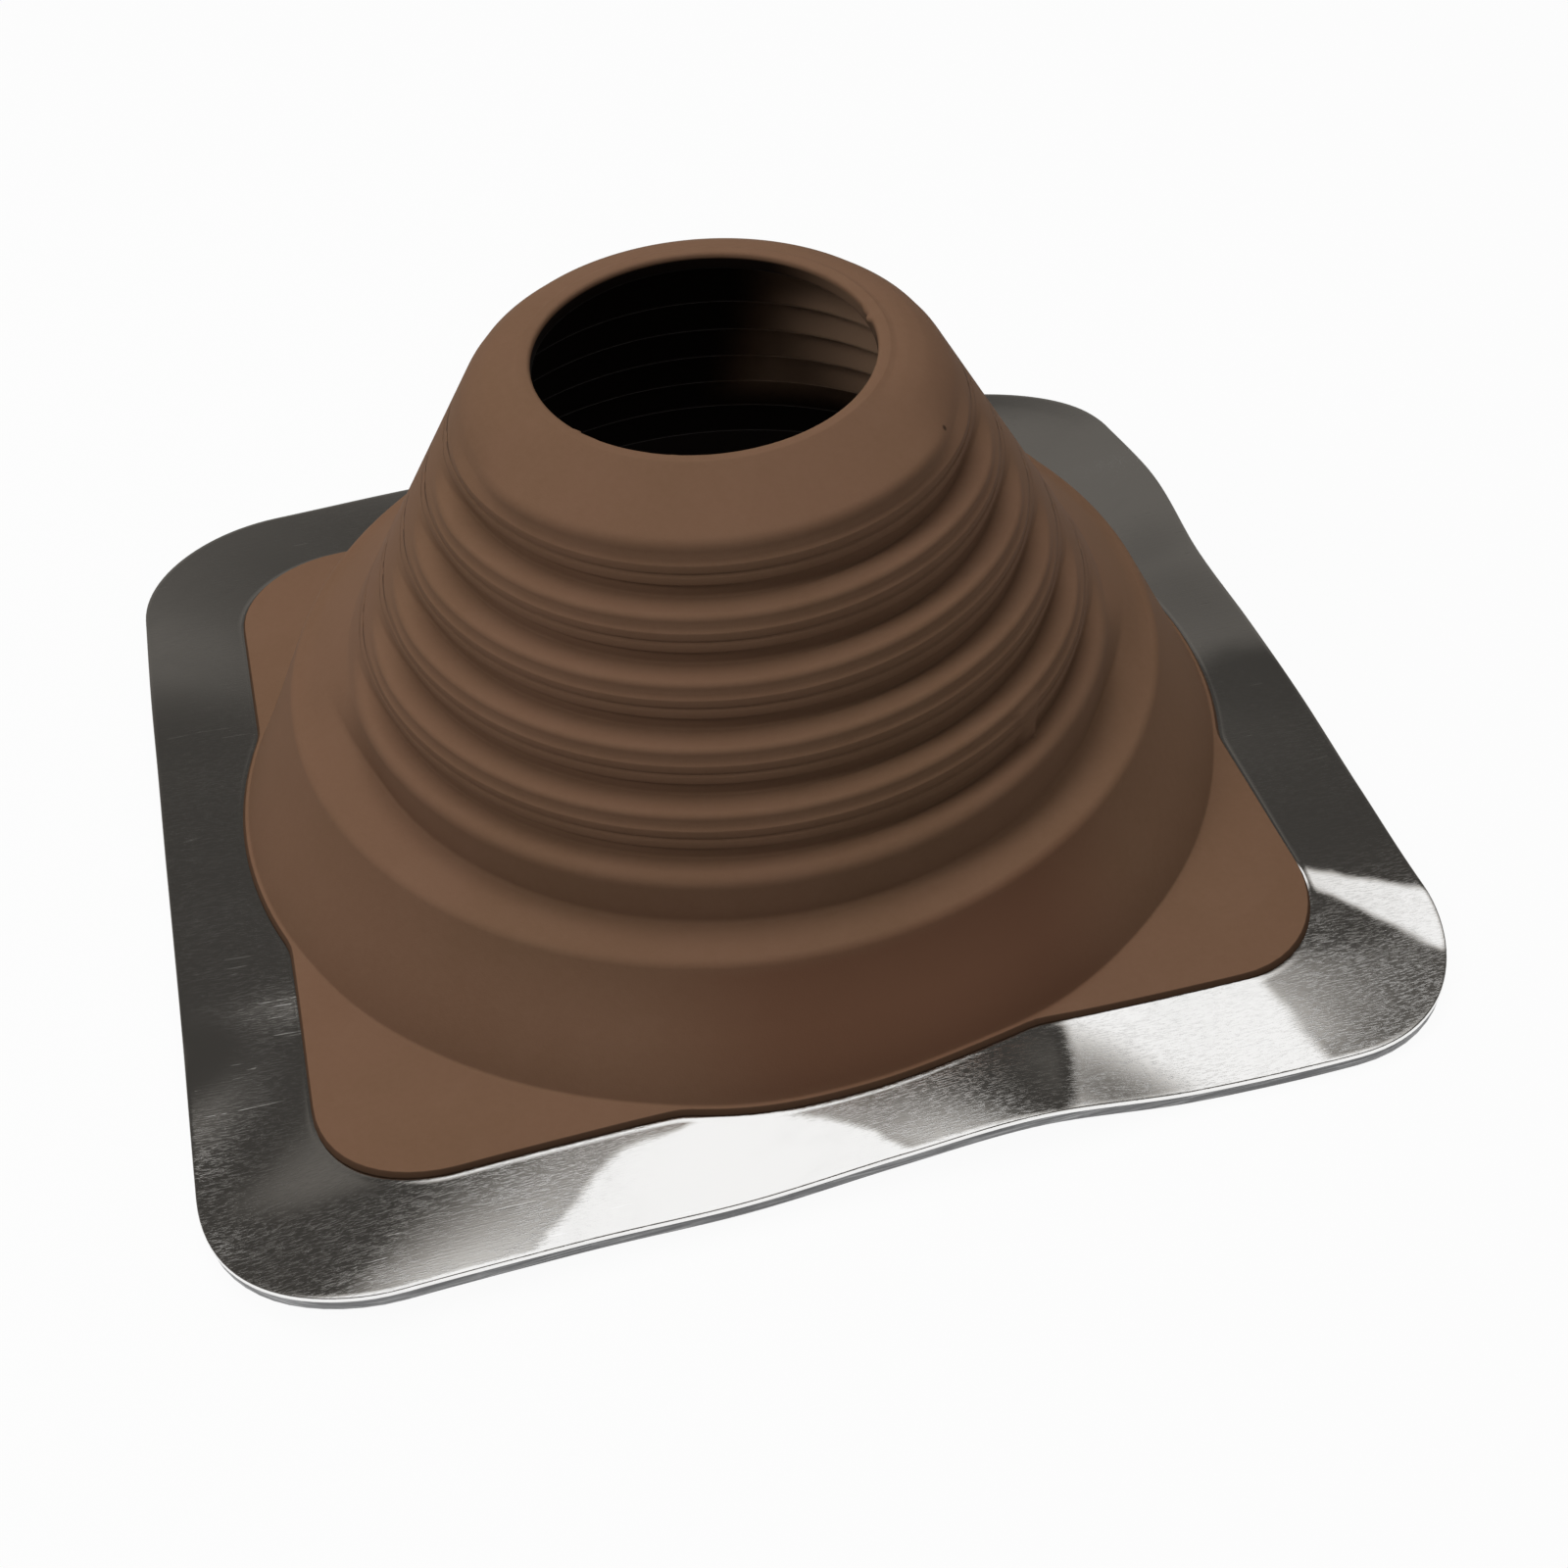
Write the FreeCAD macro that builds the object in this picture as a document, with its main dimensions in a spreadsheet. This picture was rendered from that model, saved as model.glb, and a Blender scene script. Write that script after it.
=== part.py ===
# Pipe flashing boot: a stepped rubber cone moulded onto a square aluminium base plate.
# Millimetres, +Z up, origin on the cone's axis at the resting face.
import FreeCAD, Part
import math
import os
import Sketcher

V = FreeCAD.Vector
doc = FreeCAD.newDocument("PipeFlashingBoot")
sheet = doc.addObject("Spreadsheet::Sheet", "Sizes")


class Size:
    """A length kept both as a number and as the sheet expression that gives it."""

    def __init__(self, number, text):
        self.number = number
        self.text = text

    def joined(self, other, sign, number):
        other = asSize(other)
        return Size(number(self.number, other.number), f"({self.text} {sign} {other.text})")

    def __add__(self, other):
        return self.joined(other, "+", lambda a, b: a + b)

    def __sub__(self, other):
        return self.joined(other, "-", lambda a, b: a - b)

    def __mul__(self, other):
        return self.joined(other, "*", lambda a, b: a * b)

    def __truediv__(self, other):
        return self.joined(other, "/", lambda a, b: a / b)


def asSize(value):
    return value if isinstance(value, Size) else Size(float(value), str(value))


def root(value):
    return Size(value.number ** 0.5, f"sqrt({value.text})")


# Driving dimensions

rowCount = 0


def size(alias, number):
    """Write one driving dimension into the sheet and hand it back for use."""
    global rowCount
    rowCount += 1
    sheet.set(f"A{rowCount}", alias)
    sheet.set(f"B{rowCount}", str(number))
    sheet.setAlias(f"B{rowCount}", alias)
    return Size(float(number), f"Sizes.{alias}")


# Base plate and the rubber bonded round it
plateCorner = size("plateCorner", 42)
plateThick = size("plateThick", 1.5)
plateBurr = size("plateBurr", 0.4)
padThick = size("padThick", 3.2)
padInset = size("padInset", 0.4)
flangeThick = size("flangeThick", 1.5)
flangeCorner = size("flangeCorner", 30)
plateMargin = size("plateMargin", 26)
bulgeOut = size("bulgeOut", 5.5)
rimWidth = size("rimWidth", 1.6)
rimBevel = size("rimBevel", 0.8)
holeGrip = size("holeGrip", 6.4)
holeLining = size("holeLining", 3.5)

# Sealing grooves under the plate
sealLand = size("sealLand", 4)
sealGroove = size("sealGroove", 4)
sealRib = size("sealRib", 2.5)
sealDepth = size("sealDepth", 1.3)
sealCount = 2

# Lip and collar at the top
mouthRadius = size("mouthRadius", 41.4)
lipBevel = size("lipBevel", 1)
lipWidth = size("lipWidth", 4.2)
lipRise = size("lipRise", 0.6)
lipDepth = size("lipDepth", 4.2)
collarSlope = size("collarSlope", 0.4877)
collarRound = size("collarRound", 6.5)

# Stepped wall: the steps run round the front of the cone, and its rear is smooth
wallRadius = size("wallRadius", 62.5)
wallThick = size("wallThick", 2.8)
wallHeight = size("wallHeight", 10)
stepRun = size("stepRun", 7.25)
stepDrop = size("stepDrop", 12.9)
shoulderRound = size("shoulderRound", 2.9)
lastWallHeight = size("lastWallHeight", 10.7)
stepCount = 5
stepSpan = size("stepSpan", 160)

# Twin cutting beads on each stepped wall
beadHeight = size("beadHeight", 3.2)
beadOut = size("beadOut", 1)
beadCrest = size("beadCrest", 1.3)
beadsPerStep = 2

# Flare and skirt under the last step
flareRun = size("flareRun", 14.55)
flareDrop = size("flareDrop", 1.3)
flareBevel = size("flareBevel", 1.75)
skirtRun = size("skirtRun", 17.1)
skirtHeight = size("skirtHeight", 33.8)
skirtThick = size("skirtThick", 3.6)
footHeight = size("footHeight", 2)

zero = asSize(0)
fullTurn = asSize(360)
rightAngle = 90
halfAngleSine = 0.7071
padTop = padThick
plateTop = padThick + plateThick
flangeTop = plateTop + flangeThick
flareZ = flangeTop + skirtHeight
lastStepRadius = wallRadius + stepRun * stepCount
flareRadius = lastStepRadius + flareRun
baseRadius = flareRadius + skirtRun
flangeRadius = baseRadius + rimWidth
holeRadius = baseRadius - holeGrip
passageRadius = holeRadius - holeLining
liningRadius = holeRadius - holeLining / 2
flangeSide = (flangeRadius - bulgeOut) * 2
plateSide = flangeSide + plateMargin * 2
footZ = flangeTop + footHeight


def stepRadius(step):
    return wallRadius + stepRun * step


def stepTop(step):
    """Height at which the rounded shoulder of a step turns into its upright wall."""
    return flareZ + flareDrop + lastWallHeight + stepDrop * (stepCount - step)


def ledgeZ(step):
    """Height of the ledge at the foot of a step's wall."""
    if step == stepCount:
        return flareZ + flareDrop
    return stepTop(step) - wallHeight


# Sketch helpers


def originPlane(body, role):
    return next(item for item in body.Origin.OriginFeatures if item.Role == role)


def newSketch(body, name, height=zero):
    """A sketch parallel to the resting face, at a height above it."""
    sketch = body.newObject("Sketcher::SketchObject", name)
    sketch.AttachmentSupport = [(originPlane(body, "XY_Plane"), "")]
    sketch.MapMode = "FlatFace"
    sketch.AttachmentOffset = FreeCAD.Placement(V(0, 0, height.number), FreeCAD.Rotation())
    sketch.setExpression("AttachmentOffset.Base.z", height.text)
    return sketch


def newSection(body, name, side):
    """An upright sketch through the axis, towards the front (-1) or the rear (1)."""
    sketch = body.newObject("Sketcher::SketchObject", name)
    sketch.AttachmentSupport = [(originPlane(body, "XZ_Plane"), "")]
    sketch.MapMode = "FlatFace"
    sketch.AttachmentOffset = FreeCAD.Placement(V(0, 0, 0), FreeCAD.Rotation(V(0, 1, 0), side * rightAngle))
    return sketch


def bind(sketch, constraint, value):
    """Add a dimension to a sketch and tie it to the sheet."""
    index = sketch.addConstraint(constraint)
    sketch.setExpression(f"Constraints[{index}]", value.text)


def pin(sketch, edge, end, x, y):
    """Hold one end of an edge at sheet-driven coordinates."""
    if x.number == 0:
        sketch.addConstraint(Sketcher.Constraint("PointOnObject", edge, end, -2))
    else:
        bind(sketch, Sketcher.Constraint("DistanceX", -1, 1, edge, end, x.number), x)
    if y.number == 0:
        sketch.addConstraint(Sketcher.Constraint("PointOnObject", edge, end, -1))
    else:
        bind(sketch, Sketcher.Constraint("DistanceY", -1, 1, edge, end, y.number), y)


def addProfile(sketch, points):
    """Draw a closed straight-sided profile through points, each one pinned to the sheet."""
    edges = []
    for index, point in enumerate(points):
        start = points[index - 1]
        edges.append(sketch.addGeometry(Part.LineSegment(V(start[0].number, start[1].number, 0),
                                                         V(point[0].number, point[1].number, 0)), False))
    for index, point in enumerate(points):
        following = edges[(index + 1) % len(edges)]
        sketch.addConstraint(Sketcher.Constraint("Coincident", edges[index], 2, following, 1))
        pin(sketch, edges[index], 2, point[0], point[1])


def addCircle(sketch, radius):
    circle = sketch.addGeometry(Part.Circle(V(0, 0, 0), V(0, 0, 1), radius.number), False)
    sketch.addConstraint(Sketcher.Constraint("Coincident", circle, 3, -1, 1))
    bind(sketch, Sketcher.Constraint("Radius", circle, radius.number), radius)


def addRoundedSquare(sketch, side, corner):
    """Draw a square with round corners, centred on the sketch's origin."""
    half = side.number / 2
    flat = half - corner.number
    ends = [V(-flat, -half, 0), V(flat, -half, 0), V(half, -flat, 0), V(half, flat, 0),
            V(flat, half, 0), V(-flat, half, 0), V(-half, flat, 0), V(-half, -flat, 0)]
    centres = [V(flat, -flat, 0), V(flat, flat, 0), V(-flat, flat, 0), V(-flat, -flat, 0)]
    lines = []
    arcs = []
    for index, centre in enumerate(centres):
        lines.append(sketch.addGeometry(Part.LineSegment(ends[2 * index], ends[2 * index + 1]), False))
        circle = Part.Circle(centre, V(0, 0, 1), corner.number)
        angle = math.radians((index - 1) * rightAngle)
        arcs.append(sketch.addGeometry(Part.ArcOfCircle(circle, angle, angle + math.radians(rightAngle)), False))
    for index in range(4):
        sketch.addConstraint(Sketcher.Constraint("Tangent", lines[index], 2, arcs[index], 1))
        sketch.addConstraint(Sketcher.Constraint("Tangent", arcs[index], 2, lines[(index + 1) % 4], 1))
    sketch.addConstraint(Sketcher.Constraint("Symmetric", lines[0], 1, lines[0], 2, -2))
    sketch.addConstraint(Sketcher.Constraint("Symmetric", lines[1], 1, lines[1], 2, -1))
    for arc in arcs[1:]:
        sketch.addConstraint(Sketcher.Constraint("Equal", arcs[0], arc))
    bind(sketch, Sketcher.Constraint("Radius", arcs[0], corner.number), corner)
    bind(sketch, Sketcher.Constraint("DistanceX", lines[3], 1, lines[1], 1, side.number), side)
    bind(sketch, Sketcher.Constraint("DistanceY", lines[0], 1, lines[2], 1, side.number), side)


def addPad(body, name, sketch, length):
    pad = body.newObject("PartDesign::Pad", name)
    pad.Profile = sketch
    pad.Length = length.number
    pad.setExpression("Length", length.text)
    doc.recompute()
    return pad


def addRevolution(body, name, sketch, span):
    """Turn a section about the axis, half of the span to each side of the sketch."""
    turn = body.newObject("PartDesign::Revolution", name)
    turn.Profile = sketch
    turn.ReferenceAxis = (sketch, ["V_Axis"])
    turn.Midplane = True
    turn.Angle = span.number
    turn.setExpression("Angle", span.text)
    doc.recompute()


def addBevel(body, name, base, edges, width):
    bevel = body.newObject("PartDesign::Chamfer", name)
    bevel.Base = (base, edges)
    bevel.Size = width.number
    bevel.setExpression("Size", width.text)
    doc.recompute()


# Base plate


def makeBasePlate():
    body = doc.addObject("PartDesign::Body", "BasePlate")
    body.Label = "base_plate"
    outline = newSketch(body, "PlateOutline", padTop)
    addRoundedSquare(outline, plateSide, plateCorner)
    addCircle(outline, holeRadius)
    doc.recompute()
    pad = addPad(body, "PlateSheet", outline, plateThick)
    topEdges = []
    for index, edge in enumerate(pad.Shape.Edges, 1):
        box = edge.BoundBox
        isTop = box.ZMin > plateTop.number - 0.01
        isOuter = max(abs(box.XMin), abs(box.XMax), abs(box.YMin), abs(box.YMax)) > holeRadius.number + 1
        if isTop and isOuter:
            topEdges.append(f"Edge{index}")
    addBevel(body, "ShearedEdge", pad, topEdges, plateBurr)
    return body


# Rubber boot


def roundedShoulder(outer, top):
    """The rounding over a step, as two flats whose ends and middle lie on its arc."""
    return [
        (outer - shoulderRound, top + shoulderRound),
        (outer - shoulderRound * (1 - halfAngleSine), top + shoulderRound * halfAngleSine),
        (outer, top),
    ]


def beads(step):
    """The cutting beads at the top of a step's upright wall."""
    points = []
    for bead in range(beadsPerStep):
        top = stepTop(step) - beadHeight * bead
        points.append((stepRadius(step) + beadOut, top - beadCrest))
        points.append((stepRadius(step), top - beadHeight))
    return points


def collarBend():
    """Where the sloping collar ends, the middle of its bend, and the upright wall's top."""
    slope = root(collarSlope * collarSlope + 1)
    centre = wallRadius - collarRound
    # halfway round the bend, between the collar and the upright wall
    halfSlope = collarSlope + slope
    half = root(halfSlope * halfSlope + 1)
    return [
        (centre + collarRound * collarSlope / slope, stepTop(0) + collarRound / slope),
        (centre + collarRound * halfSlope / half, stepTop(0) + collarRound / half),
        (wallRadius, stepTop(0)),
    ]


def collarZ(radius):
    """Height of the collar's outer face at a radius."""
    bendRadius, bendZ = collarBend()[0]
    return bendZ + (bendRadius - radius) * collarSlope


def steppedOutside():
    points = collarBend()
    for step in range(stepCount):
        points.extend(beads(step))
        points.append((stepRadius(step), ledgeZ(step)))
        points.extend(roundedShoulder(stepRadius(step + 1), stepTop(step + 1)))
    points.append((lastStepRadius, ledgeZ(stepCount)))
    return points


def smoothOutside():
    return [collarBend()[0], (lastStepRadius, stepTop(stepCount))]


def wallProfile(outside):
    """Half section of the cone, from the lip down the given outside and back up the inside."""
    lipOuter = mouthRadius + lipWidth
    lipTop = collarZ(lipOuter) + lipRise
    points = [
        (mouthRadius, lipTop - lipBevel),
        (mouthRadius + lipBevel, lipTop),
        (lipOuter, collarZ(lipOuter)),
    ]
    points.extend(outside)
    # the flare is bevelled where it turns down into the skirt
    skirtLength = root(skirtRun * skirtRun + skirtHeight * skirtHeight)
    points.append((flareRadius - flareBevel, flareZ + flareDrop * flareBevel / flareRun))
    points.append((flareRadius + flareBevel * skirtRun / skirtLength,
                   flareZ - flareBevel * skirtHeight / skirtLength))
    points.append((baseRadius, flangeTop))
    points.append((baseRadius, plateTop))
    points.append((holeRadius, plateTop))
    points.append((holeRadius, zero))
    points.append((passageRadius, zero))
    points.append((passageRadius, footZ))
    # inner side, one wall thickness in from the steps, all the way round
    skirtInset = skirtThick * skirtLength / skirtHeight
    footRadius = baseRadius - skirtInset - footHeight * skirtRun / skirtHeight
    flareInnerZ = flareZ - wallThick
    points.append((footRadius, footZ))
    points.append((flareRadius - skirtInset + wallThick * skirtRun / skirtHeight, flareInnerZ))
    points.append((lastStepRadius - wallThick, flareInnerZ + flareDrop))
    for step in range(stepCount - 1, -1, -1):
        points.append((stepRadius(step + 1) - wallThick, ledgeZ(step) - wallThick))
        points.append((stepRadius(step) - wallThick, ledgeZ(step) - wallThick))
    underCollar = wallThick * root(collarSlope * collarSlope + 1)
    points.append((wallRadius - wallThick, collarZ(wallRadius - wallThick) - underCollar))
    points.append((mouthRadius, lipTop - lipDepth))
    return points


def makeBoot():
    body = doc.addObject("PartDesign::Body", "Boot")
    body.Label = "boot"

    frontSketch = newSection(body, "FrontSection", -1)
    addProfile(frontSketch, wallProfile(steppedOutside()))
    doc.recompute()
    addRevolution(body, "SteppedFront", frontSketch, stepSpan)

    rearSketch = newSection(body, "RearSection", 1)
    addProfile(rearSketch, wallProfile(smoothOutside()))
    doc.recompute()
    addRevolution(body, "SmoothRear", rearSketch, fullTurn - stepSpan)

    # the flange on top of the plate is a rounded square that bulges out round the skirt
    squareSketch = newSketch(body, "FlangeSquare", plateTop)
    addRoundedSquare(squareSketch, flangeSide, flangeCorner)
    addCircle(squareSketch, liningRadius)
    doc.recompute()
    addPad(body, "FlangeCorners", squareSketch, flangeThick)

    bulgeSketch = newSketch(body, "FlangeBulge", plateTop)
    addCircle(bulgeSketch, flangeRadius)
    addCircle(bulgeSketch, liningRadius)
    doc.recompute()
    ring = addPad(body, "FlangeRing", bulgeSketch, flangeThick)
    rim = []
    for index, edge in enumerate(ring.Shape.Edges, 1):
        box = edge.BoundBox
        middle = edge.valueAt((edge.FirstParameter + edge.LastParameter) / 2)
        isTop = box.ZMin > flangeTop.number - 0.01 and box.ZMax < flangeTop.number + 0.01
        if isTop and middle.x ** 2 + middle.y ** 2 > (baseRadius + rimWidth / 2).number ** 2:
            rim.append(f"Edge{index}")
    addBevel(body, "FlangeRim", ring, rim, rimBevel)

    padSide = plateSide - padInset * 2
    padSketch = newSketch(body, "PadOutline")
    addRoundedSquare(padSketch, padSide, plateCorner - padInset)
    addCircle(padSketch, liningRadius)
    doc.recompute()
    pad = addPad(body, "SealingPad", padSketch, padThick)

    grooveSketch = newSketch(body, "SealGrooves")
    for ring in range(sealCount):
        inset = sealLand + (sealGroove + sealRib) * ring
        addRoundedSquare(grooveSketch, padSide - inset * 2, plateCorner - padInset - inset)
        inset = inset + sealGroove
        addRoundedSquare(grooveSketch, padSide - inset * 2, plateCorner - padInset - inset)
    doc.recompute()
    grooves = body.newObject("PartDesign::Pocket", "SealingGrooves")
    grooves.Profile = grooveSketch
    grooves.Length = sealDepth.number
    grooves.setExpression("Length", sealDepth.text)
    grooves.Reversed = True
    doc.recompute()
    if not grooves.Shape.Volume < pad.Shape.Volume - 1:
        raise RuntimeError("the sealing grooves cut nothing")
    return body


bodies = [makeBasePlate(), makeBoot()]
doc.recompute()

# Every object must have built, and every piece must be one sound solid
for item in doc.Objects:
    if "Invalid" in item.State or "Error" in item.State:
        raise RuntimeError(f"{item.Name} failed: {item.State}")
for body in bodies:
    if body.Shape.isNull() or not body.Shape.isValid() or len(body.Shape.Solids) != 1:
        raise RuntimeError(f"{body.Label} is not one valid solid")

os.makedirs("parts", exist_ok=True)
for body in bodies:
    body.Shape.exportStep(f"parts/{body.Label}.step")
    box = body.Shape.BoundBox
    print(f"{body.Label}: {box.XLength:.1f} x {box.YLength:.1f} x {box.ZLength:.1f} mm, "
          f"{body.Shape.Volume / 1000:.1f} cm3, {len(body.Shape.Faces)} faces")
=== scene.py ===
import bpy
import math
import numpy as np
from mathutils import Matrix, Vector


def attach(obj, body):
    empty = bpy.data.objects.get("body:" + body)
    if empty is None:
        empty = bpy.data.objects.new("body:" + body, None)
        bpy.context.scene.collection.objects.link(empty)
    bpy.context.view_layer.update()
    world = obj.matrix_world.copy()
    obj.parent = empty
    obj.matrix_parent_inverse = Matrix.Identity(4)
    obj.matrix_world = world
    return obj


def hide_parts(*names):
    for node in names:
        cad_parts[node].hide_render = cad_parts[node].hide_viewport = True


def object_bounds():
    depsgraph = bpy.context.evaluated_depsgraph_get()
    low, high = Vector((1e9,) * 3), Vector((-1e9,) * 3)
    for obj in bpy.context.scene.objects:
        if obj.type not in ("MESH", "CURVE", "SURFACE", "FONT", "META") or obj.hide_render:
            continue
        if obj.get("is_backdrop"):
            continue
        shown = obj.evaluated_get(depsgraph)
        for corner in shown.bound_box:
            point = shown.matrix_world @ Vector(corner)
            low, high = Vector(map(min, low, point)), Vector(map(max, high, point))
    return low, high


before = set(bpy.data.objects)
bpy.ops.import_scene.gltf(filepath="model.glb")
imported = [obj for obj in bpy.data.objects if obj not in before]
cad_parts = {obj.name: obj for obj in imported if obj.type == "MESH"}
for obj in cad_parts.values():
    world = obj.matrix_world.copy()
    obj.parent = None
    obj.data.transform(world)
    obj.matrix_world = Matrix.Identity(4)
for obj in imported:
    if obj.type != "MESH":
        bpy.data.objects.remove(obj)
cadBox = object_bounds()
mm = 0.001
print("frame loaded:", sorted(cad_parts))


# a socket that takes part in sums
class Val:
    def __init__(self, net, socket):
        self.net = net
        self.socket = socket

    def math(self, operation, *others):
        return self.net.add("ShaderNodeMath", {"operation": operation}, dict(enumerate((self, *others))))

    def __add__(self, other):
        return self.math("ADD", other)

    def __sub__(self, other):
        return self.math("SUBTRACT", other)

    def __rsub__(self, other):
        return self.net.number(other).math("SUBTRACT", self)

    def __mul__(self, other):
        return self.math("MULTIPLY", other)

    def __truediv__(self, other):
        return self.math("DIVIDE", other)

    def __rtruediv__(self, other):
        return self.net.number(other).math("DIVIDE", self)

    def __pow__(self, other):
        return self.math("POWER", other)

    __radd__ = __add__
    __rmul__ = __mul__

    def fade(self, low, high):  # smooth step from 0 at low to 1 at high
        return self.net.add("ShaderNodeMapRange", {"interpolation_type": "SMOOTHSTEP"},
                            {"Value": self, "From Min": low, "From Max": high, "To Min": 0.0, "To Max": 1.0})

    def fadeAt(self, edges):  # the same between two places in millimetres
        return self.fade(edges[0] * mm, edges[1] * mm)

    def mix(self, low, high):  # self is the share of high
        return self * (high - low) + low


# a node tree that adds any node from its type, settings and values
class Net:
    def __init__(self, tree):
        self.tree = tree
        tree.nodes.clear()

    def add(self, kind, settings=None, values=None, out=0):
        node = self.tree.nodes.new(kind)
        for name, value in (settings or {}).items():
            setattr(node, name, value)
        for key, value in (values or {}).items():
            if isinstance(value, Val):
                self.tree.links.new(value.socket, node.inputs[key])
            else:
                node.inputs[key].default_value = value
        return Val(self, node.outputs[out]) if node.outputs else None

    def number(self, value):
        return self.add("ShaderNodeMath", {"operation": "ADD"}, {0: value, 1: 0.0})

    def axes(self, vector):
        first = self.add("ShaderNodeSeparateXYZ", None, {0: vector})
        node = first.socket.node
        return first, Val(self, node.outputs[1]), Val(self, node.outputs[2])

    def stretch(self, vector, scale, turn=0.0, shift=0.0):
        return self.add("ShaderNodeMapping", None, {"Vector": vector, "Scale": scale, "Rotation": (0, 0, turn),
                                                    "Location": (shift, shift, 0)})

    def noise(self, vector, scale, detail=2.0, rough=0.5, warp=0.0):
        return self.add("ShaderNodeTexNoise", None,
                        {"Vector": vector, "Scale": scale, "Detail": detail, "Roughness": rough, "Distortion": warp})

    def blend(self, share, first, second):  # mixes two colours
        return self.add("ShaderNodeMix", {"data_type": "RGBA"}, {0: share, 6: first, 7: second}, out=2)

    def bump(self, height, strength, distance, normal=None):
        values = {"Height": height, "Strength": strength, "Distance": distance}
        if normal is not None:
            values["Normal"] = normal
        return self.add("ShaderNodeBump", None, values)


def newMaterial(name):
    material = bpy.data.materials.new(name)
    material.use_nodes = True
    return material, Net(material.node_tree)


def finish(net, constants, links):
    shader = net.add("ShaderNodeBsdfPrincipled", None, {**constants, **links})
    net.add("ShaderNodeOutputMaterial", None, {"Surface": shader})


# camera, set by matching the plate's outline and the cone's rings

view = dict(
    focal=51.17, sensor=36, azimuth=-11.672, elevation=41.794, roll=-5.291,
    distance=0.6141, right=0.01349, up=-0.01027, near=0.01, far=50,
)


def makeCamera():
    azimuth, elevation, roll = (math.radians(view[k]) for k in ("azimuth", "elevation", "roll"))
    level = math.cos(elevation)
    back = Vector((math.sin(azimuth) * level, -math.cos(azimuth) * level, math.sin(elevation)))
    right = Vector((math.cos(azimuth), math.sin(azimuth), 0))
    up = back.cross(right)
    place = back * view["distance"] + right * view["right"] + up * view["up"]
    tiltedRight = right * math.cos(roll) + up * math.sin(roll)
    tiltedUp = up * math.cos(roll) - right * math.sin(roll)
    data = bpy.data.cameras.new("camera")
    data.lens = view["focal"]
    data.sensor_width = view["sensor"]
    data.clip_start = view["near"]
    data.clip_end = view["far"]
    camera = bpy.data.objects.new("camera", data)
    turn = Matrix((tiltedRight, tiltedUp, back)).transposed().to_4x4()
    camera.matrix_world = Matrix.Translation(place) @ turn
    bpy.context.scene.collection.objects.link(camera)
    bpy.context.scene.camera = camera


makeCamera()
print("camera made")


# materials
# a noise is (scale, detail, roughness, warp), an edge is the pair of values between which it fades in,
# and a share says how strongly one colour covers another

# places and distances on the rubber are in millimetres
rubberLook = dict(
    colour=(0.143, 0.079, 0.048, 1), pale=(0.172, 0.101, 0.065, 1), deep=(0.115, 0.068, 0.036, 1),
    # on the next line: a painted shade for the skirt's front, a near black painted shade for the inner wall, the rim
    # and the speck, and a paler brown painted light for the inner wall
    under=(0.112, 0.053, 0.031, 1), shade=(0.001, 0.0008, 0.0008, 1), paintedLight=(0.27, 0.17, 0.11, 1),
    mottle=(14.0, 4, 0.6, 0.4), mottleEdge=(0.35, 0.68), mottleShare=0.35,
    cloud=(38.0, 5, 0.65, 0.6), cloudEdge=(0.42, 0.72), cloudShare=0.22,
    fine=(520, 3, 0.6), fineShare=0.5, fineLeast=0.12, grain=(2600.0, 2, 0.6),
    roughness=0.82, cloudRough=0.08, fineRough=0.1, darkRough=0.3, gloss=0.07,
    relief=0.16, reliefDepth=0.2, fineRelief=1.4,
    # painted shade: the skirt's steep front, where shade falls, is darkened to a deeper brown
    skirtInner=(111, 114.5), skirtOuter=(132.5, 129.5), skirtFront=(-30, -90),
    skirtLeft=(-55, -10), skirtRight=(85, 45), skirtShadeShare=0.8,
    # a small dark speck sits on the collar
    speck=(51.1, -41.2, 118.3), speckEdge=(1.2, 0.7), speckShare=0.75,
    # painted shade: the inner wall is drawn near black all round, but for a painted pool of light in a paler brown
    # on its right side near the mouth
    litAlong=(0.9, 0.2), litEdge=(30, 48), litUp=(56, 68), paintedShadeShare=0.97,
)


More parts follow.
